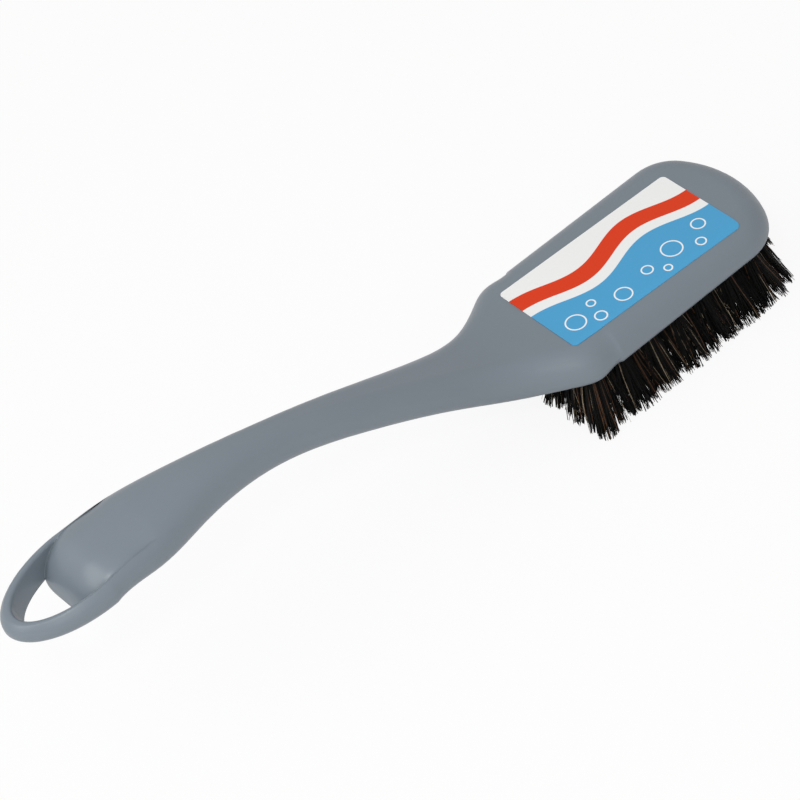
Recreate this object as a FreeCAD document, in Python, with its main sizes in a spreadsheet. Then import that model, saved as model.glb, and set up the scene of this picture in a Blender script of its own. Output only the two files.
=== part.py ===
import FreeCAD, Part
import math
import os

from FreeCAD import Placement, Rotation, Vector
import Sketcher

# Scrub brush with a moulded head, an arched handle and a hanging loop.
# Millimetres. +X runs from the handle to the tip of the head, +Z is up, the bristles point down.
# The origin is the middle of the scrubbing face, where the trimmed bristles end.

doc = FreeCAD.newDocument("scrub_brush")

# Driving dimensions

SIZES = {
    # Head, a flat block with a softly rounded upper edge and a blunt round tip
    "head_length": 82.6,
    "head_width": 49.6,
    "head_thickness": 11.5,
    "head_round_across": 8.4,
    "head_side": 0.2,
    "face_edge_round": 2.4,
    "tip_corner_radius": 16.0,
    "tip_end_radius": 35.0,
    "heel_run": 6.0,
    "heel_taper": 1.8,
    "heel_rise": 0.2,
    # Handle, as cross-sections behind the heel of the head: how far back each one stands,
    # its width, its thickness and the height of its middle over the head's underside
    "shoulder_reach": 8.5,
    "shoulder_width": 37.4,
    "shoulder_thickness": 12.5,
    "shoulder_height": 6.25,
    "throat_reach": 20.0,
    "throat_width": 26.4,
    "throat_thickness": 13.4,
    "throat_height": 8.1,
    "neck_reach": 36.0,
    "neck_width": 20.2,
    "neck_thickness": 12.2,
    "neck_height": 14.95,
    "arm_reach": 60.0,
    "arm_width": 15.2,
    "arm_thickness": 11.6,
    "arm_height": 26.05,
    "waist_reach": 87.0,
    "waist_width": 12.6,
    "waist_thickness": 11.2,
    "waist_height": 36.45,
    "swell_reach": 111.0,
    "swell_width": 16.8,
    "swell_thickness": 12.8,
    "swell_height": 41.45,
    "palm_reach": 127.0,
    "palm_width": 23.8,
    "palm_thickness": 13.6,
    "palm_height": 42.4,
    "grip_reach": 140.5,
    "grip_width": 27.5,
    "grip_thickness": 13.3,
    "grip_height": 42.65,
    "loop_reach": 152.5,
    "loop_width": 28.7,
    "loop_thickness": 12.7,
    "loop_height": 42.2,
    "loop_fall": 2.8,
    "loop_end_length": 26.1,
    # Hanging loop: a leaning slot through the end of the grip, under a rim that falls towards the end,
    # from a start that lies this far behind the palm
    "loop_side_wall": 3.05,
    "loop_end_wall": 3.8,
    "rim_height": 45.9,
    "rim_fall": 6.4,
    "rim_round": 1.0,
    "slot_lean": 8.6,
    "slot_start": 3.0,
    # Tongue: the grip's top running on between the arms of the loop and rolling down to a blunt nose.
    # Its form covers the palm's skin, and lies a little inside the skin where the arms have parted from it
    "root_cover": 0.3,
    "tongue_groove": 0.35,
    "roll_lead": 4.0,
    "tongue_length": 12.15,
    "tongue_drop": 15.5,
    "nose_width": 23.8,
    # Bristle tufts, each folded over a flat metal anchor in a blind hole
    "trim_length": 18.0,
    "tuft_root_diameter": 4.2,
    "tuft_gap": 0.3,
    "tuft_clearance": 0.05,
    "hole_depth": 8.5,
    "row_pitch": 5.2,
    "tuft_pitch": 7.0,
    "side_margin": 4.4,
    "heel_margin": 4.7,
    "flare": 10.5,
    "fan_from_heel": 16.0,
    "fan_from_tip": 20.0,
    "anchor_length": 5.2,
    "anchor_height": 1.8,
    "anchor_gauge": 0.4,
    "fold_depth": 0.9,
    # Paper label stuck to the flat back of the head
    "label_length": 64.5,
    "label_width": 33.0,
    "label_thickness": 0.15,
    "label_clearance": 0.05,
    "label_corner": 1.5,
    "label_from_heel": 1.35,
    "label_offset": 2.7,
    "label_turn": 2.0,
}

sheet = doc.addObject("Spreadsheet::Sheet", "sizes")
for row, (alias, value) in enumerate(SIZES.items(), start=1):
    sheet.set(f"A{row}", alias)
    sheet.set(f"B{row}", str(value))
    sheet.setAlias(f"B{row}", alias)
doc.recompute()


def size(alias):
    return float(sheet.get(alias))


FACE_Z = size("trim_length")
HEAD_TOP = FACE_Z + size("head_thickness")
HEEL_X = -size("head_length") / 2
TIP_X = size("head_length") / 2
HALF_HEAD = size("head_width") / 2

# Moulded blank: head, neck, grip and the outer form of the loop

# Degree of the curves along the handle, and the share of a cubic curve's handle that makes
# a quarter of an ellipse
CUBIC = 3
QUARTER = 0.5523


class Section:
    """A cross-section with a flat top and bottom, joined to its sides by elliptic corners."""

    def __init__(self, half_width, low, high, top_flat, bottom_flat, crown, belly):
        self.half_width = half_width
        self.low = low
        self.high = high
        self.top_flat = top_flat
        self.bottom_flat = bottom_flat
        self.crown = crown
        self.belly = belly

    def side(self, place):
        """The edges of one side, from the top flat round to the bottom flat."""
        top = (self.top_flat, self.high)
        side_high = (self.half_width, self.high - self.crown)
        side_low = (self.half_width, self.low + self.belly)
        bottom = (self.bottom_flat, self.low)
        return [
            corner(place, top, (self.half_width, self.high), side_high),
            Part.LineSegment(place(*side_high), place(*side_low)).toShape(),
            corner(place, side_low, (self.half_width, self.low), bottom),
        ]

    def wire(self, x):
        """The closed outline in the plane across the brush at x."""
        right = self.side(lambda across, up: Vector(x, -across, up))
        left = self.side(lambda across, up: Vector(x, across, up))
        top = line(x, self.top_flat, -self.top_flat, self.high)
        bottom = line(x, -self.bottom_flat, self.bottom_flat, self.low)
        return Part.Wire([top] + right + [bottom] + left[::-1])

    def half_face(self, x, y, half_width):
        """One side of the outline, filled in to an upright axis at x, y."""
        reach = half_width - self.half_width
        shifted = Section(half_width, self.low, self.high, self.top_flat + reach,
                          self.bottom_flat + reach, self.crown, self.belly)
        edges = shifted.side(lambda across, up: Vector(x, y + across, up))
        top = line(x, y, y + shifted.top_flat, self.high)
        bottom = line(x, y + shifted.bottom_flat, y, self.low)
        axis = Part.LineSegment(Vector(x, y, self.low), Vector(x, y, self.high)).toShape()
        return Part.Face(Part.Wire([top] + edges + [bottom, axis]))


def line(x, y_from, y_to, z):
    return Part.LineSegment(Vector(x, y_from, z), Vector(x, y_to, z)).toShape()


def corner(place, start, knee, end):
    """A quarter of an ellipse from start to end, whose tangents meet at knee."""
    first = [s + QUARTER * (k - s) for s, k in zip(start, knee)]
    second = [e + QUARTER * (k - e) for e, k in zip(end, knee)]
    curve = Part.BezierCurve()
    curve.setPoles([place(*point) for point in (start, first, second, end)])
    return curve.toShape()


def turned(face, x, y, start, sweep):
    """A face turned about the upright axis at x, y, from one bearing through an angle."""
    axis_point = Vector(x, y, 0)
    face.rotate(axis_point, Vector(0, 0, 1), start)
    return face.revolve(axis_point, Vector(0, 0, 1), sweep)


head_section = Section(
    half_width=HALF_HEAD,
    low=FACE_Z,
    high=HEAD_TOP,
    top_flat=HALF_HEAD - size("head_round_across"),
    bottom_flat=HALF_HEAD - size("face_edge_round"),
    crown=size("head_thickness") - size("head_side") - size("face_edge_round"),
    belly=size("face_edge_round"),
)

# Share of a handle section's thickness left as a straight side between its corners
STRAIGHT_SIDE = 0.06


def handle_section(width, thickness, middle, top_share, bottom_share, crown_share):
    """A section from its sizes, the shares of its half width that are flat above and below,
    and the share of its thickness that the upper corners take."""
    half_width = width / 2
    crown = crown_share * thickness
    return Section(
        half_width=half_width,
        low=middle - thickness / 2,
        high=middle + thickness / 2,
        top_flat=top_share * half_width,
        bottom_flat=bottom_share * half_width,
        crown=crown,
        belly=thickness - crown - STRAIGHT_SIDE * thickness,
    )


# The heel keeps the head's underside, and is a little narrower and thicker than the head
HEEL_SHARES = (0.65, 0.90, 0.765)
heel_width = size("head_width") - size("heel_taper")
heel_thickness = size("head_thickness") + size("heel_rise")
heel_section = handle_section(heel_width, heel_thickness, FACE_Z + heel_thickness / 2, *HEEL_SHARES)

# The handle's sections in the sheet, from the head to the loop, with the shares that shape each one
HANDLE = {
    "shoulder": (0.60, 0.82, 0.71),
    "throat": (0.52, 0.60, 0.62),
    "neck": (0.34, 0.45, 0.56),
    "arm": (0.26, 0.40, 0.55),
    "waist": (0.22, 0.40, 0.55),
    "swell": (0.20, 0.45, 0.55),
    "palm": (0.20, 0.50, 0.55),
    "grip": (0.20, 0.45, 0.55),
    "loop": (0.20, 0.45, 0.55),
}


def station_x(name):
    return HEEL_X - size(f"{name}_reach")


def station(name, lift=0.0, inset=0.0):
    return handle_section(size(f"{name}_width") - 2 * inset, size(f"{name}_thickness") - 2 * inset,
                          FACE_Z + size(f"{name}_height") + lift, *HANDLE[name])


LOOP_X = station_x("loop")
LOOP_FALL = math.tan(math.radians(size("loop_fall")))

# The tongue starts to roll down a little way before the loop's round end
ROLL_X = LOOP_X + size("roll_lead")
ROLL_LIFT = LOOP_FALL * size("roll_lead")

# The tip is an end arc between two corner arcs, tangent to each other and to the head's sides
corner_radius = size("tip_corner_radius")
end_radius = size("tip_end_radius")
corner_y = HALF_HEAD - corner_radius
corner_turn = math.degrees(math.acos(corner_y / (end_radius - corner_radius)))
end_x = TIP_X - end_radius
corner_x = end_x + (end_radius - corner_radius) * math.sin(math.radians(corner_turn))


def head_blank():
    front_x = HEEL_X + 2 * size("heel_run")
    block = Part.Face(head_section.wire(front_x)).extrude(Vector(corner_x - front_x, 0, 0))
    far_corner = turned(head_section.half_face(corner_x, corner_y, corner_radius),
                        corner_x, corner_y, -corner_turn, corner_turn)
    end = turned(head_section.half_face(end_x, 0, end_radius),
                 end_x, 0, corner_turn - 180, 180 - 2 * corner_turn)
    near_corner = turned(head_section.half_face(corner_x, -corner_y, corner_radius),
                         corner_x, -corner_y, -180, corner_turn)
    return block.fuse([far_corner, end, near_corner]).removeSplitter()


def loft(stations):
    """A solid through the sections, in cubic curves that don't swing between uneven stations."""
    ruled = False
    closed = False
    return Part.makeLoft([section.wire(x) for x, section in stations], True, ruled, closed, CUBIC)


def handle_blank():
    stations = [(HEEL_X + steps * size("heel_run"), head_section) for steps in (2, 1)]
    stations.append((HEEL_X, heel_section))
    stations += [(station_x(name), station(name)) for name in HANDLE]
    return loft(stations).fuse(loop_end(station("loop")))


def loop_end(section):
    """The section turned half round, drawn out to an egg shape and falling away from the grip."""
    round_end = turned(section.half_face(LOOP_X, 0, section.half_width), LOOP_X, 0, 0, 180)
    stretch = size("loop_end_length") / section.half_width
    draw_out = FreeCAD.Matrix()
    draw_out.A11 = stretch
    draw_out.A14 = LOOP_X * (1 - stretch)
    draw_out.A31 = LOOP_FALL * stretch
    draw_out.A34 = -LOOP_FALL * stretch * LOOP_X
    return round_end.transformGeometry(draw_out)


blank = doc.addObject("Part::Feature", "moulded_blank")
blank.Shape = head_blank().fuse(handle_blank()).removeSplitter()

# Tongue: the form that the slot leaves standing, as deep as it needs to be to reach through the grip.
# It follows the grip's top, then the same section rolls down along an ellipse and narrows to its nose.

TONGUE_STEPS = 4
NOSE_SHARES = (0.3, 0.55, 0.75, 0.88, 0.96, 0.995)


def curve_through(points, x):
    """The value at x of the parabola through three points."""
    value = 0.0
    for here, height in points:
        others = [other for other, _ in points if other != here]
        value += height * math.prod((x - other) / (here - other) for other in others)
    return value


def tongue_section(half_width, high):
    top_share, bottom_share, crown_share = HANDLE["loop"]
    crown = crown_share * size("loop_thickness")
    depth = 2 * size("palm_thickness")
    top_flat = top_share * half_width
    bottom_flat = bottom_share * half_width
    return Section(half_width, high - depth, high, top_flat, bottom_flat, crown, crown)


def tongue_blank():
    start_x = station_x("palm")
    guides = [
        (start_x, station("palm", inset=-size("root_cover"))),
        (station_x("grip"), station("grip", inset=size("tongue_groove"))),
        (ROLL_X, station("loop", lift=ROLL_LIFT, inset=size("tongue_groove"))),
    ]
    widths = [(x, section.half_width) for x, section in guides]
    tops = [(x, section.high) for x, section in guides]
    stations = []
    for step in range(TONGUE_STEPS + 1):
        x = start_x + (ROLL_X - start_x) * step / TONGUE_STEPS
        stations.append((x, tongue_section(curve_through(widths, x), curve_through(tops, x))))
    roll_start = guides[-1][1]
    narrowing = roll_start.half_width - size("nose_width") / 2
    for share in NOSE_SHARES:
        fall = size("tongue_drop") * (1 - math.sqrt(1 - share ** 2))
        section = tongue_section(roll_start.half_width - share * narrowing, roll_start.high - fall)
        stations.append((ROLL_X - share * size("tongue_length"), section))
    return loft(stations)


tongue = doc.addObject("Part::Feature", "tongue")
tongue.Shape = tongue_blank()


def bind(piece, **expressions):
    """Ties properties of a piece to the sheet; a double underscore stands for a dot."""
    for name, expression in expressions.items():
        piece.setExpression(name.replace("__", "."), expression)
    return piece


def combine(kind, name, first, second):
    piece = doc.addObject(f"Part::{kind}", name)
    piece.Base = first
    piece.Tool = second
    return piece


def compound(name, pieces):
    group = doc.addObject("Part::Compound", name)
    group.Links = pieces
    return group


# Hanging loop: a slot with a rounded upper rim pierces the blank, but for the tongue that stands in it.
# The slot and its rim are made in a plate, whose top is the plane of the rim, over the start of the
# loop's round end.

slot_half_width = "(sizes.loop_width / 2 - sizes.loop_side_wall)"
slot_length = "(sizes.loop_reach - sizes.palm_reach - sizes.slot_start)"
plate_height = "4 * sizes.loop_thickness"


def plate(name, height):
    """A block over the slot and the loop's end, from far below the rim up through a height."""
    return bind(doc.addObject("Part::Box", name),
                Length=f"1.5 * sizes.loop_end_length + {slot_length}",
                Width="2 * sizes.loop_width", Height=height,
                Placement__Base__x="-1.5 * sizes.loop_end_length", Placement__Base__y="-sizes.loop_width",
                Placement__Base__z=f"-{plate_height}")


slot_run = bind(doc.addObject("Part::Box", "slot_run"),
                Length=f"2 * {slot_length}", Width=f"2 * {slot_half_width}", Height=f"2 * {plate_height}",
                Placement__Base__y=f"-{slot_half_width}", Placement__Base__z=f"-1.5 * {plate_height}")
slot_end_outline = bind(doc.addObject("Part::Ellipse", "slot_end_outline"),
                        MajorRadius="sizes.loop_end_length - sizes.loop_end_wall",
                        MinorRadius=slot_half_width,
                        Placement__Base__z=f"-1.5 * {plate_height}")
slot_end = doc.addObject("Part::Extrusion", "slot_end")
slot_end.Base = slot_end_outline
slot_end.DirMode = "Custom"
slot_end.Dir = Vector(0, 0, 1)
slot_end.Solid = True
bind(slot_end, LengthFwd=f"2 * {plate_height}")
slot = combine("Fuse", "slot", slot_run, slot_end)
slot.Placement = Placement(Vector(), Rotation(Vector(0, -1, 0), size("slot_lean")))
pierced_plate = combine("Cut", "pierced_plate", plate("rim_plate", plate_height), slot)
doc.recompute()


def is_rim(edge):
    """Whether an edge of the pierced plate runs along the slot's upper rim."""
    box = edge.BoundBox
    level = abs(box.ZMin) < 1e-6 and abs(box.ZMax) < 1e-6
    half_loop = size("loop_width") / 2
    return level and -half_loop < box.YMin and box.YMax < half_loop


rounded_plate = doc.addObject("Part::Fillet", "rounded_plate")
rounded_plate.Base = pierced_plate
rounded_plate.Edges = [(number, size("rim_round"), size("rim_round"))
                       for number, edge in enumerate(pierced_plate.Shape.Edges, start=1) if is_rim(edge)]
slot_and_rim = combine("Cut", "slot_and_rim", plate("open_block", f"{plate_height} + sizes.loop_thickness"),
                       rounded_plate)
slot_and_rim.Placement = Placement(Vector(), Rotation(Vector(0, -1, 0), size("rim_fall")))
bind(slot_and_rim, Placement__Base__x="-sizes.head_length / 2 - sizes.loop_reach",
     Placement__Base__z="sizes.trim_length + sizes.rim_height")
loop_void = combine("Cut", "loop_void", slot_and_rim, tongue)
looped_blank = combine("Cut", "looped_blank", blank, loop_void)

# Tufts: rows across the head, in which every second row stands between its neighbours' tufts.
# Each tuft is a round bundle that leaves its hole straight and leans out towards the head's edge.

ROW_PITCH = size("row_pitch")
TUFT_PITCH = size("tuft_pitch")
MARGIN = size("side_margin")
HOLE_TOP = FACE_Z + size("hole_depth")

# A tuft's nearest neighbours stand half a pitch over in the next row.
# At the trimmed ends, where the tufts are widest, they clear it by the gap.
fan = "(1 + 2 * sizes.flare / sizes.head_width)"
tip_spacing = f"sqrt(sizes.row_pitch ^ 2 + (sizes.tuft_pitch / 2 * {fan}) ^ 2)"
TUFT_RADII = {
    "root": "sizes.tuft_root_diameter / 2",
    "mouth": "sizes.tuft_root_diameter / 2",
    "tip": f"({tip_spacing} - sizes.tuft_gap) / 2",
}


def half_span(x):
    """How far from the middle line a tuft may stand at x, keeping the margin to the head's edge."""
    corner_inset = corner_radius - MARGIN
    end_inset = end_radius - MARGIN
    past_corner = x - corner_x
    if past_corner <= 0:
        return HALF_HEAD - MARGIN
    if past_corner <= corner_inset * math.sin(math.radians(corner_turn)):
        return corner_y + math.sqrt(corner_inset ** 2 - past_corner ** 2)
    return math.sqrt(max(0.0, end_inset ** 2 - (x - end_x) ** 2))


def tuft_places():
    """The tufts' hole centres, one list for each row from the heel to the tip."""
    rows_back = int((-HEEL_X - size("heel_margin")) / ROW_PITCH)
    rows_ahead = int((TIP_X - MARGIN) / ROW_PITCH)
    rows = []
    for number in range(-rows_back, rows_ahead + 1):
        x = number * ROW_PITCH
        first = TUFT_PITCH / 2 if number % 2 else 0.0
        count = math.floor((half_span(x) - first) / TUFT_PITCH) + 1
        side = [first + step * TUFT_PITCH for step in range(count)]
        rows.append([(x, y) for y in sorted({-y for y in side} | set(side))])
    return [row for row in rows if row]


def tip_place(x, y):
    """Where a tuft ends: the tufts fan out from the spine of the head."""
    spine_x = min(max(x, HEEL_X + size("fan_from_heel")), TIP_X - size("fan_from_tip"))
    out = Vector(x - spine_x, y, 0)
    return Vector(x, y, 0) + out * (size("flare") / HALF_HEAD)


def tuft(name, x, y):
    sections = []
    ends = {"root": Vector(x, y, HOLE_TOP), "mouth": Vector(x, y, FACE_Z), "tip": tip_place(x, y)}
    for end, centre in ends.items():
        circle = doc.addObject("Part::Circle", f"{name}_{end}")
        circle.Placement = Placement(centre, Rotation())
        sections.append(bind(circle, Radius=TUFT_RADII[end]))
    bundle = doc.addObject("Part::Loft", name)
    bundle.Sections = sections
    bundle.Solid = True
    bundle.Ruled = True
    return bundle


def hole(name, x, y):
    bore = bind(doc.addObject("Part::Cylinder", name),
                Radius="sizes.tuft_root_diameter / 2 + sizes.tuft_clearance", Height="sizes.hole_depth")
    bore.Placement = Placement(Vector(x, y, FACE_Z), Rotation())
    return bore


def anchor(name, x, y):
    """A flat metal strip across the hole, over which the tuft is folded; its ends bite into the plastic."""
    strip = bind(doc.addObject("Part::Box", name),
                 Length="sizes.anchor_gauge", Width="sizes.anchor_length", Height="sizes.anchor_height")
    corner_of_strip = Vector(x - size("anchor_gauge") / 2, y - size("anchor_length") / 2,
                             HOLE_TOP - size("fold_depth") - size("anchor_height"))
    strip.Placement = Placement(corner_of_strip, Rotation())
    return strip


tuft_rows = []
anchor_rows = []
holes = []
for row_number, places in enumerate(tuft_places(), start=1):
    row = f"{row_number:02d}"
    names = [f"{row}_{number}" for number in range(1, len(places) + 1)]
    holes += [hole(f"hole_{name}", *place) for name, place in zip(names, places)]
    anchors = compound(f"anchor_row_{row}",
                       [anchor(f"anchor_{name}", *place) for name, place in zip(names, places)])
    bundles = compound(f"bundles_{row}",
                       [tuft(f"bundle_{name}", *place) for name, place in zip(names, places)])
    anchor_rows.append(anchors)
    tuft_rows.append(combine("Cut", f"tuft_row_{row}", bundles, anchors))

drilled_blank = combine("Cut", "drilled_blank", looped_blank, compound("tuft_holes", holes))
handle_body = combine("Cut", "handle_body", drilled_blank, compound("anchor_seats", anchor_rows))

# Label: a paper rectangle lying on the head's back and bending down over its rounded near edge

label_body = doc.addObject("PartDesign::Body", "label_outline")
label_sketch = label_body.newObject("Sketcher::SketchObject", "label_rectangle")
label_plane = next(plane for plane in label_body.Origin.OriginFeatures if plane.Role == "XY_Plane")
label_sketch.AttachmentSupport = [(label_plane, "")]
label_sketch.MapMode = "FlatFace"
far_x = size("label_length") / 2
far_y = size("label_width") / 2
corners = [Vector(x * far_x, y * far_y, 0) for x, y in [(-1, -1), (1, -1), (1, 1), (-1, 1)]]
for start, end in zip(corners, corners[1:] + corners[:1]):
    label_sketch.addGeometry(Part.LineSegment(start, end))
for side in range(4):
    label_sketch.addConstraint(Sketcher.Constraint("Coincident", side, 2, (side + 1) % 4, 1))
    label_sketch.addConstraint(Sketcher.Constraint("Vertical" if side % 2 else "Horizontal", side))
label_sketch.addConstraint(Sketcher.Constraint("Symmetric", 0, 1, 1, 2, -1, 1))
along = label_sketch.addConstraint(Sketcher.Constraint("DistanceX", 0, 1, 0, 2, 2 * far_x))
across = label_sketch.addConstraint(Sketcher.Constraint("DistanceY", 1, 1, 1, 2, 2 * far_y))
label_sketch.setExpression(f"Constraints[{along}]", "sizes.label_length")
label_sketch.setExpression(f"Constraints[{across}]", "sizes.label_width")
label_pad = label_body.newObject("PartDesign::Pad", "label_pad")
label_pad.Profile = label_sketch
label_pad.setExpression("Length", "sizes.head_thickness")
doc.recompute()
label_round = label_body.newObject("PartDesign::Fillet", "label_corners")
upright = [f"Edge{number}" for number, edge in enumerate(label_pad.Shape.Edges, start=1)
           if abs(edge.tangentAt(edge.FirstParameter).z) > 0.5]
label_round.Base = (label_pad, upright)
label_round.setExpression("Radius", "sizes.label_corner")
label_body.Tip = label_round
label_body.Placement = Placement(Vector(), Rotation(Vector(0, 0, 1), -size("label_turn")))
bind(label_body,
     Placement__Base__x="-sizes.head_length / 2 + sizes.label_from_heel + sizes.label_length / 2",
     Placement__Base__y="-sizes.label_offset",
     Placement__Base__z="sizes.trim_length + sizes.head_thickness / 2")


def raised_blank(name, height):
    raised = doc.addObject("Part::Feature", name)
    raised.Shape = blank.Shape.copy()
    raised.Placement = Placement(Vector(0, 0, height), Rotation())
    return raised


# The paper's underside clears the plastic by the layer of glue
glue_top = raised_blank("glue_top", size("label_clearance"))
paper_top = raised_blank("paper_top", size("label_clearance") + size("label_thickness"))
draped_label = combine("Common", "draped_label", label_body, paper_top)
back_label = combine("Cut", "back_label", draped_label, glue_top)

# Checks, then one file for each piece

doc.recompute()
for item in doc.Objects:
    if "Invalid" in item.State or "Error" in item.State:
        raise RuntimeError(f"{item.Label} did not compute")

os.makedirs("parts", exist_ok=True)
for piece in [handle_body, back_label] + tuft_rows + anchor_rows:
    if piece.Shape.isNull() or not piece.Shape.isValid():
        raise RuntimeError(f"{piece.Label} has no valid shape")
    piece.Shape.exportStep(f"parts/{piece.Label}.step")
    print(piece.Label, len(piece.Shape.Solids), "solids", round(piece.Shape.Volume, 1), "mm3")
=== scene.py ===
import math

import bpy
import numpy as np
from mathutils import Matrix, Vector


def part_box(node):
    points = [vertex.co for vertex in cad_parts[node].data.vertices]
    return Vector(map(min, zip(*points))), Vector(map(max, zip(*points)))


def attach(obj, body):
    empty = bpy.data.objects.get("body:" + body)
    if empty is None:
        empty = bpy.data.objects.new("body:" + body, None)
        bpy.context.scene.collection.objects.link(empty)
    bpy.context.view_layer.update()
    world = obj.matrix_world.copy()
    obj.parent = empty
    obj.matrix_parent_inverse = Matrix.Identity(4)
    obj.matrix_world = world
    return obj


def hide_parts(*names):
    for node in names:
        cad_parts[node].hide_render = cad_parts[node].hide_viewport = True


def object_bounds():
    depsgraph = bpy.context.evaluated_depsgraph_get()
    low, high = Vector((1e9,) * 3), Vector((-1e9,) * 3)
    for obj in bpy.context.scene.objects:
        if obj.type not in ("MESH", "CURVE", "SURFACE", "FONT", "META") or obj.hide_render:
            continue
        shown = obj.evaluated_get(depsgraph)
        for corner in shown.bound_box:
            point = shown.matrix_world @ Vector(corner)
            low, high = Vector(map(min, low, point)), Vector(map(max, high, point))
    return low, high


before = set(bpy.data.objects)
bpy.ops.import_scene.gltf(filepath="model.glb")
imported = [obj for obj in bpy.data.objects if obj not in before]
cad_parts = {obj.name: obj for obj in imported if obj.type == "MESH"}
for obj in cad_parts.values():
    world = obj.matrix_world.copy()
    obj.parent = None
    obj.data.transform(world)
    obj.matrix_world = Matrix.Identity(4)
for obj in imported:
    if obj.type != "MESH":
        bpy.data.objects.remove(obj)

cad_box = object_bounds()

# Moulded body: head, arched neck, grip and hanging loop in one shot of blue-grey polypropylene.
# The mould leaves a satin skin with a faint grain, and every rim of the loop comes out rounded.

PLASTIC_BLUE_GREY = (0.190, 0.223, 0.255, 1)
PLASTIC_COOL_SHADE = (0.174, 0.207, 0.240, 1)
RIM_ROUND = 0.0010
PLASTIC_ROUGHNESS = (0.28, 0.35)
CLOUDS_TO_METRE = 45
PORES_TO_METRE = 2600
PORE_DEPTH = 0.000012


def new_finish(name):
    """An empty material with its shader, as (material, nodes, links, shader)."""
    finish = bpy.data.materials.new(name)
    finish.use_nodes = True
    nodes = finish.node_tree.nodes
    return finish, nodes, finish.node_tree.links, nodes["Principled BSDF"]


def grain(nodes, links, scale, detail=2.0):
    """Noise over the object's own coordinates, with so many grains to a metre."""
    place = nodes.new("ShaderNodeTexCoord")
    noise = nodes.new("ShaderNodeTexNoise")
    noise.inputs["Scale"].default_value = scale
    noise.inputs["Detail"].default_value = detail
    links.new(place.outputs["Object"], noise.inputs["Vector"])
    return noise.outputs["Fac"]


def blend_of(nodes, links, share, low, high):
    """A colour between low and high, as share goes from 0 to 1."""
    ramp = nodes.new("ShaderNodeValToRGB")
    ramp.color_ramp.elements[0].color = low
    ramp.color_ramp.elements[1].color = high
    links.new(share, ramp.inputs["Fac"])
    return ramp.outputs["Color"]


def span_of(nodes, links, share, low, high):
    """A number between low and high, as share goes from 0 to 1."""
    span = nodes.new("ShaderNodeMapRange")
    span.inputs["To Min"].default_value = low
    span.inputs["To Max"].default_value = high
    links.new(share, span.inputs["Value"])
    return span.outputs["Result"]


def relief(nodes, links, height, depth, normal=None):
    """A bumped normal from a height that goes from 0 to 1 over a depth in metres."""
    bump = nodes.new("ShaderNodeBump")
    bump.inputs["Distance"].default_value = depth
    links.new(height, bump.inputs["Height"])
    if normal is not None:
        links.new(normal, bump.inputs["Normal"])
    return bump.outputs["Normal"]


satin_plastic, nodes, links, shader = new_finish("satin_plastic")
cloud = grain(nodes, links, CLOUDS_TO_METRE)
pores = grain(nodes, links, PORES_TO_METRE, detail=1.0)
rounded = nodes.new("ShaderNodeBevel")
rounded.samples = 8
rounded.inputs["Radius"].default_value = RIM_ROUND
plastic_tone = blend_of(nodes, links, cloud, PLASTIC_COOL_SHADE, PLASTIC_BLUE_GREY)
links.new(plastic_tone, shader.inputs["Base Color"])
links.new(span_of(nodes, links, cloud, *PLASTIC_ROUGHNESS), shader.inputs["Roughness"])
porous_skin = relief(nodes, links, pores, PORE_DEPTH, rounded.outputs["Normal"])
links.new(porous_skin, shader.inputs["Normal"])
shader.inputs["Specular IOR Level"].default_value = 0.5

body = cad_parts["handle_body"]
body.data.materials.clear()
body.data.materials.append(satin_plastic)

# Anchors: short flat strips of drawn steel wire, driven into the bottom of each hole with the tuft
# folded over them. Their ends bite into the plastic, and nothing of them shows on a finished brush.

STEEL_PALE = (0.56, 0.56, 0.57, 1)
STEEL_DARK = (0.40, 0.40, 0.41, 1)
STEEL_ROUGHNESS = (0.25, 0.50)
SCRATCHES_TO_METRE = 3000

drawn_steel, nodes, links, shader = new_finish("drawn_steel")
scratches = grain(nodes, links, SCRATCHES_TO_METRE, detail=4.0)
shader.inputs["Metallic"].default_value = 1.0
links.new(blend_of(nodes, links, scratches, STEEL_DARK, STEEL_PALE), shader.inputs["Base Color"])
links.new(span_of(nodes, links, scratches, *STEEL_ROUGHNESS), shader.inputs["Roughness"])

anchor_rows = sorted(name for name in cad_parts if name.startswith("anchor_row_"))
for name in anchor_rows:
    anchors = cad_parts[name]
    anchors.data.materials.clear()
    anchors.data.materials.append(drawn_steel)

# Tufts: bundles of coarse natural hair, folded over the anchors and trimmed level after filling.
# Nearly all of it is black, with brown hairs among it and a pale one here and there.

HAIRS_IN_TUFT = 230
WISPS_IN_TUFT = 20
HAIR_RADIUS = 0.00020
HAIR_GIRTHS = (0.8, 1.2)
HAIR_TIP_TAPER = 0.55
HAIR_ROUGHNESS = (0.42, 0.60)
HAIR_STREAKS_TO_METRE = 900
PALE_HAIR_GIRTH = 0.5
BROWN_SHARE = 0.04
PALE_SHARE = 0.03
PALE_STRAY_SHARE = 0.4
TUFT_PITCH = 0.0070
ANCHOR_LENGTH = 0.0052
HOLE_RADIUS = 0.0021
HOLE_FILL = 0.93
TIP_RADIUS = 0.00345
TRIM_SPARE = 0.0006
HEEL_SPREAD = (0.0036, 0.0050)
SIDE_SPREAD = (0.0062, 0.0044)
TIP_SPREAD = (0.0032, 0.0056)
COMBED_OUT = 0.85
WISP_PULL = (0.2, 0.7)
HAIR_SCATTER = 0.05
STRAY_SHARE = 0.08
STRAY_SCATTER = 0.5
STRAY_BOW = 3
WIDEST_SCATTER = 1.05
WISP_TRIM_ERROR = 0.0006
HAIR_TRIM_ERROR = 0.0004
BROKEN_SHARE = 0.05
BROKEN_OFF = (0.001, 0.004)
HAIR_BOW = 0.0003
STRAIGHT_LEAN = 0.8
ROOT_DEPTH = 0.004
RINGS = 6
SIDES = 3
BLACK, BROWN, PALE = range(3)

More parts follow.
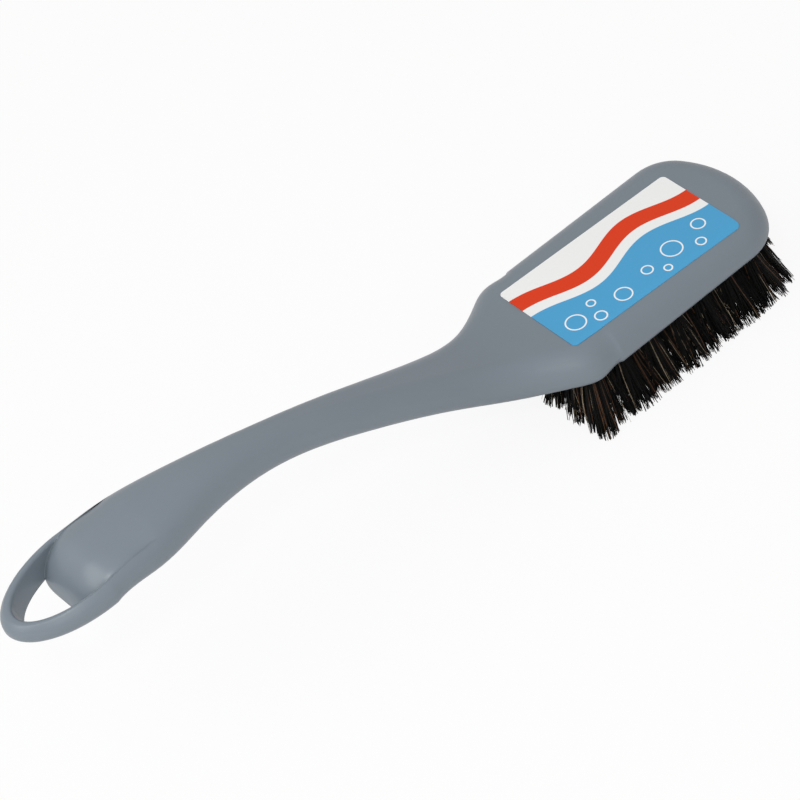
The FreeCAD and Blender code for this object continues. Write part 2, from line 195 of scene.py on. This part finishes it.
hair_finishes = []
for name, dark, light in [
    ("black_hair", (0.0014, 0.0012, 0.0011, 1), (0.0042, 0.0034, 0.0029, 1)),
    ("brown_hair", (0.045, 0.021, 0.011, 1), (0.150, 0.076, 0.040, 1)),
    ("pale_hair", (0.26, 0.20, 0.13, 1), (0.58, 0.48, 0.34, 1)),
]:
    hair, nodes, links, shader = new_finish(name)
    streaks = grain(nodes, links, HAIR_STREAKS_TO_METRE, detail=3.0)
    links.new(blend_of(nodes, links, streaks, dark, light), shader.inputs["Base Color"])
    links.new(span_of(nodes, links, streaks, *HAIR_ROUGHNESS), shader.inputs["Roughness"])
    shader.inputs["Specular IOR Level"].default_value = 0.16
    hair_finishes.append(hair)

chance = np.random.default_rng(7)
face_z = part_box("handle_body")[0].z
tuft_rows = [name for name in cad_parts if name.startswith("tuft_row_")]
widest_tip_y = max(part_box(name)[1].y for name in tuft_rows) - TIP_RADIUS
trim_half_width = widest_tip_y + TIP_RADIUS + TRIM_SPARE


def disc(count):
    """Points spread evenly over a round hole of radius 1."""
    bearing = chance.uniform(0, 2 * math.pi, count)
    reach = np.sqrt(chance.uniform(0, 1, count))
    return np.stack([reach * np.cos(bearing), reach * np.sin(bearing)], axis=1)


def hairs_of_tuft(mouth, tip, spread, has_brown_lock):
    """The centrelines of one tuft's hairs, as hairs x rings x 3, and each hair's finish."""
    place = disc(HAIRS_IN_TUFT)
    wisps = disc(WISPS_IN_TUFT)
    wisp = np.linalg.norm(place[:, None] - wisps[None], axis=2).argmin(axis=1)
    pull = chance.uniform(*WISP_PULL, (HAIRS_IN_TUFT, 1))
    ends = place + (wisps[wisp] - place) * pull + chance.normal(0, HAIR_SCATTER, place.shape)
    stray = chance.random(HAIRS_IN_TUFT) < STRAY_SHARE
    ends[stray] += chance.normal(0, STRAY_SCATTER, (stray.sum(), 2))
    ends *= np.minimum(1, WIDEST_SCATTER / np.linalg.norm(ends, axis=1, keepdims=True))
    start = np.array(mouth) + HOLE_RADIUS * HOLE_FILL * place
    end = np.array(tip) + np.array(spread) * ends
    end[:, 1] = np.clip(end[:, 1], -trim_half_width, trim_half_width)
    shorter = abs(chance.normal(0, WISP_TRIM_ERROR, WISPS_IN_TUFT))[wisp]
    shorter += abs(chance.normal(0, HAIR_TRIM_ERROR, HAIRS_IN_TUFT))
    broken = chance.random(HAIRS_IN_TUFT) < BROKEN_SHARE
    shorter += broken * chance.uniform(*BROKEN_OFF, HAIRS_IN_TUFT)
    bow = chance.normal(0, HAIR_BOW, (HAIRS_IN_TUFT, 2))
    bow[stray] *= STRAY_BOW
    line = np.zeros((HAIRS_IN_TUFT, RINGS, 3))
    line[:, 0, :2] = start
    line[:, 0, 2] = face_z + ROOT_DEPTH
    for ring in range(1, RINGS):
        along = (ring - 1) / (RINGS - 2)
        lean = STRAIGHT_LEAN * along + (1 - STRAIGHT_LEAN) * along ** 2
        line[:, ring, :2] = start + (end - start) * lean + bow * 4 * along * (1 - along)
        line[:, ring, 2] = face_z + (shorter - face_z) * along
    luck = chance.random(HAIRS_IN_TUFT)
    finish = np.where(luck < BROWN_SHARE, BROWN, BLACK)
    pale = (luck > 1 - PALE_SHARE) | (stray & (luck > 1 - PALE_STRAY_SHARE))
    finish[pale] = PALE
    if has_brown_lock:
        lock = np.flatnonzero(wisp == wisps.sum(axis=1).argmin())
        finish[lock[::2]] = BROWN
    return line, finish


def hair_mesh(name, lines, finishes):
    """Tapered three-sided hairs round the centrelines, closed at the tip."""
    count = len(lines)
    girth = HAIR_RADIUS * chance.uniform(*HAIR_GIRTHS, count)
    girth *= np.where(finishes == PALE, PALE_HAIR_GIRTH, 1)
    taper = np.linspace(1.0, HAIR_TIP_TAPER, RINGS)[None, :] * girth[:, None]
    turn = np.arange(SIDES) * 2 * math.pi / SIDES
    rim = np.stack([np.cos(turn), np.sin(turn), np.zeros(SIDES)], axis=1)
    points = lines[:, :, None, :] + taper[:, :, None, None] * rim[None, None]
    first = (np.arange(count) * RINGS * SIDES)[:, None, None]
    ring = (np.arange(RINGS - 1) * SIDES)[None, :, None]
    side = np.arange(SIDES)[None, None, :]
    after = (side + 1) % SIDES
    low = first + ring
    high = low + SIDES
    quads = np.stack([low + side, high + side, high + after, low + after], axis=-1).reshape(-1, 4)
    tips = (first[:, 0, :] + (RINGS - 1) * SIDES + np.arange(SIDES)[::-1][None, :]).reshape(-1, 3)
    mesh = bpy.data.meshes.new(name)
    mesh.from_pydata(points.reshape(-1, 3).tolist(), [], quads.tolist() + tips.tolist())
    for hair in hair_finishes:
        mesh.materials.append(hair)
    walls = np.repeat(finishes, (RINGS - 1) * SIDES)
    mesh.polygons.foreach_set("material_index", np.concatenate([walls, finishes]).astype(np.int32))
    mesh.polygons.foreach_set("use_smooth", np.ones(len(mesh.polygons), dtype=bool))
    mesh.update()
    return mesh


for name in anchor_rows:
    row = name.replace("anchor", "tuft")
    anchor_low, anchor_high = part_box(name)
    tuft_low, tuft_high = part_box(row)
    row_x = (anchor_low.x + anchor_high.x) / 2
    outer_y = anchor_high.y - ANCHOR_LENGTH / 2
    outer_tip_y = tuft_high.y - TIP_RADIUS
    leans_ahead = tuft_high.x - row_x > row_x - tuft_low.x
    tip_x = tuft_high.x - TIP_RADIUS if leans_ahead else tuft_low.x + TIP_RADIUS
    tufts = round(2 * outer_y / TUFT_PITCH) + 1
    is_heel_row = name == anchor_rows[0]
    is_tip_row = name in anchor_rows[-2:]
    spread = SIDE_SPREAD
    if is_heel_row:
        spread = HEEL_SPREAD
    elif is_tip_row:
        spread = TIP_SPREAD
    if not is_tip_row:
        outer_tip_y += COMBED_OUT * (widest_tip_y - outer_tip_y)
    bundles = []
    for share in np.linspace(-1, 1, tufts):
        mouth = (row_x, outer_y * share)
        tip = (tip_x, outer_tip_y * share)
        bundles.append(hairs_of_tuft(mouth, tip, spread, is_heel_row and share == -1))
    lines = np.concatenate([line for line, finish in bundles])
    finishes = np.concatenate([finish for line, finish in bundles])
    hairs = bpy.data.objects.new(row.replace("tuft_row", "hair_row"), hair_mesh(row, lines, finishes))
    bpy.context.scene.collection.objects.link(hairs)
    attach(hairs, "root")
    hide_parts(row)

# Label: a coated paper sticker on the head's back, printed in blue and red on white.
# It is stuck on by hand, a little off the middle line, and bends down over the rounded near edge.

LABEL_TURN = math.radians(-2.0)
PAPER_WHITE = (0.87, 0.87, 0.86, 1)
PAPER_SHADE = (0.84, 0.84, 0.83, 1)
INK_BLUE = (0.072, 0.345, 0.610, 1)
INK_RED = (0.700, 0.040, 0.003, 1)
INK_EDGE = 0.00008
WAVE_LENGTH = 0.043
WAVE_HEIGHT = 0.0026
BLUE_EDGE = -0.0005
RIBBON_MIDDLE = 0.0062
RIBBON_HALF_WIDTH = 0.0030
PAPER_GRAINS_TO_METRE = 1500
PAPER_DENTS_TO_METRE = 700
PAPER_DENT_DEPTH = 0.00001
BUBBLE_LINE = 0.00045
BUBBLES = [
    (-0.0255, -0.0095, 0.0030), (-0.0190, -0.0130, 0.0018), (-0.0175, -0.0070, 0.0013),
    (-0.0090, -0.0115, 0.0026), (0.0020, -0.0095, 0.0017), (0.0065, -0.0135, 0.0012),
    (0.0125, -0.0085, 0.0032), (0.0200, -0.0128, 0.0015), (0.0245, -0.0068, 0.0021),
]

label_finish, label_nodes, label_links, shader = new_finish("printed_label")


def math_node(operation, first, second=None):
    """The result of one sum on the label, from sockets or plain numbers."""
    node = label_nodes.new("ShaderNodeMath")
    node.operation = operation
    for socket, value in zip(node.inputs, (first, second)):
        if isinstance(value, (int, float)):
            socket.default_value = value
        elif value is not None:
            label_links.new(value, socket)
    return node.outputs["Value"]


def inside(distance):
    """1 where a signed distance in metres is below 0, with an edge as sharp as print."""
    step = label_nodes.new("ShaderNodeMapRange")
    step.inputs["From Min"].default_value = INK_EDGE / 2
    step.inputs["From Max"].default_value = -INK_EDGE / 2
    label_links.new(distance, step.inputs["Value"])
    return step.outputs["Result"]


def ink(under, colour, share):
    """The colour after one pass of the press, where share says how much ink lands."""
    mix = label_nodes.new("ShaderNodeMix")
    mix.data_type = "RGBA"
    label_links.new(share, mix.inputs["Factor"])
    label_links.new(under, mix.inputs["A"])
    mix.inputs["B"].default_value = colour
    return mix.outputs["Result"]


label_low, label_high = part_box("back_label")
place = label_nodes.new("ShaderNodeTexCoord")
on_label = label_nodes.new("ShaderNodeMapping")
on_label.vector_type = "TEXTURE"
on_label.inputs["Location"].default_value = (label_low + label_high) / 2
on_label.inputs["Rotation"].default_value = (0, 0, LABEL_TURN)
label_links.new(place.outputs["Object"], on_label.inputs["Vector"])
axes = label_nodes.new("ShaderNodeSeparateXYZ")
label_links.new(on_label.outputs["Vector"], axes.inputs["Vector"])
along, across = axes.outputs["X"], axes.outputs["Y"]

wave_turn = math_node("MULTIPLY", along, 2 * math.pi / WAVE_LENGTH)
wave = math_node("MULTIPLY", math_node("SINE", wave_turn), WAVE_HEIGHT)
over_wave = math_node("SUBTRACT", across, wave)
paper_grain = grain(label_nodes, label_links, PAPER_GRAINS_TO_METRE, detail=4.0)
paper_tone = blend_of(label_nodes, label_links, paper_grain, PAPER_SHADE, PAPER_WHITE)
print_colour = ink(paper_tone, INK_BLUE, inside(math_node("SUBTRACT", over_wave, BLUE_EDGE)))
off_ribbon_middle = math_node("ABSOLUTE", math_node("SUBTRACT", over_wave, RIBBON_MIDDLE))
off_ribbon = math_node("SUBTRACT", off_ribbon_middle, RIBBON_HALF_WIDTH)
print_colour = ink(print_colour, INK_RED, inside(off_ribbon))
flat = label_nodes.new("ShaderNodeCombineXYZ")
label_links.new(along, flat.inputs["X"])
label_links.new(across, flat.inputs["Y"])
for bubble_x, bubble_y, radius in BUBBLES:
    reach = label_nodes.new("ShaderNodeVectorMath")
    reach.operation = "DISTANCE"
    reach.inputs[1].default_value = (bubble_x, bubble_y, 0)
    label_links.new(flat.outputs["Vector"], reach.inputs[0])
    off_circle = math_node("ABSOLUTE", math_node("SUBTRACT", reach.outputs["Value"], radius))
    off_line = math_node("SUBTRACT", off_circle, BUBBLE_LINE / 2)
    print_colour = ink(print_colour, PAPER_WHITE, inside(off_line))
label_links.new(print_colour, shader.inputs["Base Color"])
shader.inputs["Roughness"].default_value = 0.40
shader.inputs["Specular IOR Level"].default_value = 0.25
paper_dents = grain(label_nodes, label_links, PAPER_DENTS_TO_METRE, detail=3.0)
dented_paper = relief(label_nodes, label_links, paper_dents, PAPER_DENT_DEPTH)
label_links.new(dented_paper, shader.inputs["Normal"])

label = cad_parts["back_label"]
label.data.materials.clear()
label.data.materials.append(label_finish)

# Studio: a white floor that runs out of the picture, an even white surround, a small lamp over
# the near side, a wide one overhead beyond the loop and a third low on the camera's side.

FLOOR_HALF = 3.0
FLOOR_GLOW = 0.90
WORLD_LIGHT = 0.62

floor_mesh = bpy.data.meshes.new("floor")
floor_corners = [(x * FLOOR_HALF, y * FLOOR_HALF, 0) for x, y in [(-1, -1), (1, -1), (1, 1), (-1, 1)]]
floor_mesh.from_pydata(floor_corners, [], [(0, 1, 2, 3)])
floor = bpy.data.objects.new("floor", floor_mesh)
bpy.context.scene.collection.objects.link(floor)

white_floor, nodes, links, shader = new_finish("white_floor")
shader.inputs["Base Color"].default_value = (0.8, 0.8, 0.8, 1)
shader.inputs["Roughness"].default_value = 0.9
seen = nodes.new("ShaderNodeLightPath")
glow = nodes.new("ShaderNodeEmission")
lit = nodes.new("ShaderNodeMixShader")
share_of_glow = nodes.new("ShaderNodeMath")
share_of_glow.operation = "MULTIPLY"
share_of_glow.inputs[1].default_value = FLOOR_GLOW
links.new(seen.outputs["Is Camera Ray"], share_of_glow.inputs[0])
links.new(share_of_glow.outputs["Value"], lit.inputs["Fac"])
links.new(shader.outputs["BSDF"], lit.inputs[1])
links.new(glow.outputs["Emission"], lit.inputs[2])
links.new(lit.outputs["Shader"], nodes["Material Output"].inputs["Surface"])
floor_mesh.materials.append(white_floor)

world = bpy.data.worlds.new("studio")
world.use_nodes = True
bpy.context.scene.world = world
nodes, links = world.node_tree.nodes, world.node_tree.links
seen = nodes.new("ShaderNodeLightPath")
bright = nodes.new("ShaderNodeMapRange")
bright.inputs["To Min"].default_value = WORLD_LIGHT
bright.inputs["To Max"].default_value = 1.0
links.new(seen.outputs["Is Camera Ray"], bright.inputs["Value"])
links.new(bright.outputs["Result"], nodes["Background"].inputs["Strength"])
nodes["Background"].inputs["Color"].default_value = (1, 1, 1, 1)


def soft_lamp(name, place, target, size, power):
    """A round lamp of a size in metres and a power in watts, turned to its target."""
    lamp = bpy.data.lights.new(name, "AREA")
    lamp.shape = "DISK"
    lamp.size = size
    lamp.energy = power
    holder = bpy.data.objects.new(name, lamp)
    holder.location = place
    holder.rotation_euler = (Vector(target) - Vector(place)).to_track_quat("-Z", "Y").to_euler()
    bpy.context.scene.collection.objects.link(holder)


middle = (cad_box[0] + cad_box[1]) / 2
soft_lamp("flash", (-0.45, -0.42, 0.72), middle, size=0.12, power=1.6)
soft_lamp("overhead", (-0.75, 0.05, 0.70), middle, size=0.80, power=3.2)
soft_lamp("fill", (-0.60, -0.95, 0.50), middle, size=0.60, power=1.0)

# Camera: a long lens from above the near side of the grip, rolled so that the brush runs
# from the lower left corner of the picture to the upper right.

CAMERA_AIM = Vector((-0.08903, 0, 0.03657))
CAMERA_DISTANCE = 0.85253
CAMERA_AZIMUTH = math.radians(-30.717)
CAMERA_ELEVATION = math.radians(44.105)
CAMERA_ROLL = math.radians(15.265)
CAMERA_LENS = 139.19

lens = bpy.data.cameras.new("camera")
lens.lens = CAMERA_LENS
lens.sensor_width = 36
camera = bpy.data.objects.new("camera", lens)
back = Vector((math.sin(CAMERA_AZIMUTH) * math.cos(CAMERA_ELEVATION),
               -math.cos(CAMERA_AZIMUTH) * math.cos(CAMERA_ELEVATION),
               math.sin(CAMERA_ELEVATION)))
camera.location = CAMERA_AIM + back * CAMERA_DISTANCE
camera.rotation_euler = (-back).to_track_quat("-Z", "Y").to_euler()
camera.rotation_euler.rotate_axis("Z", -CAMERA_ROLL)
bpy.context.scene.collection.objects.link(camera)
bpy.context.scene.camera = camera

bpy.context.scene.view_settings.view_transform = "Standard"
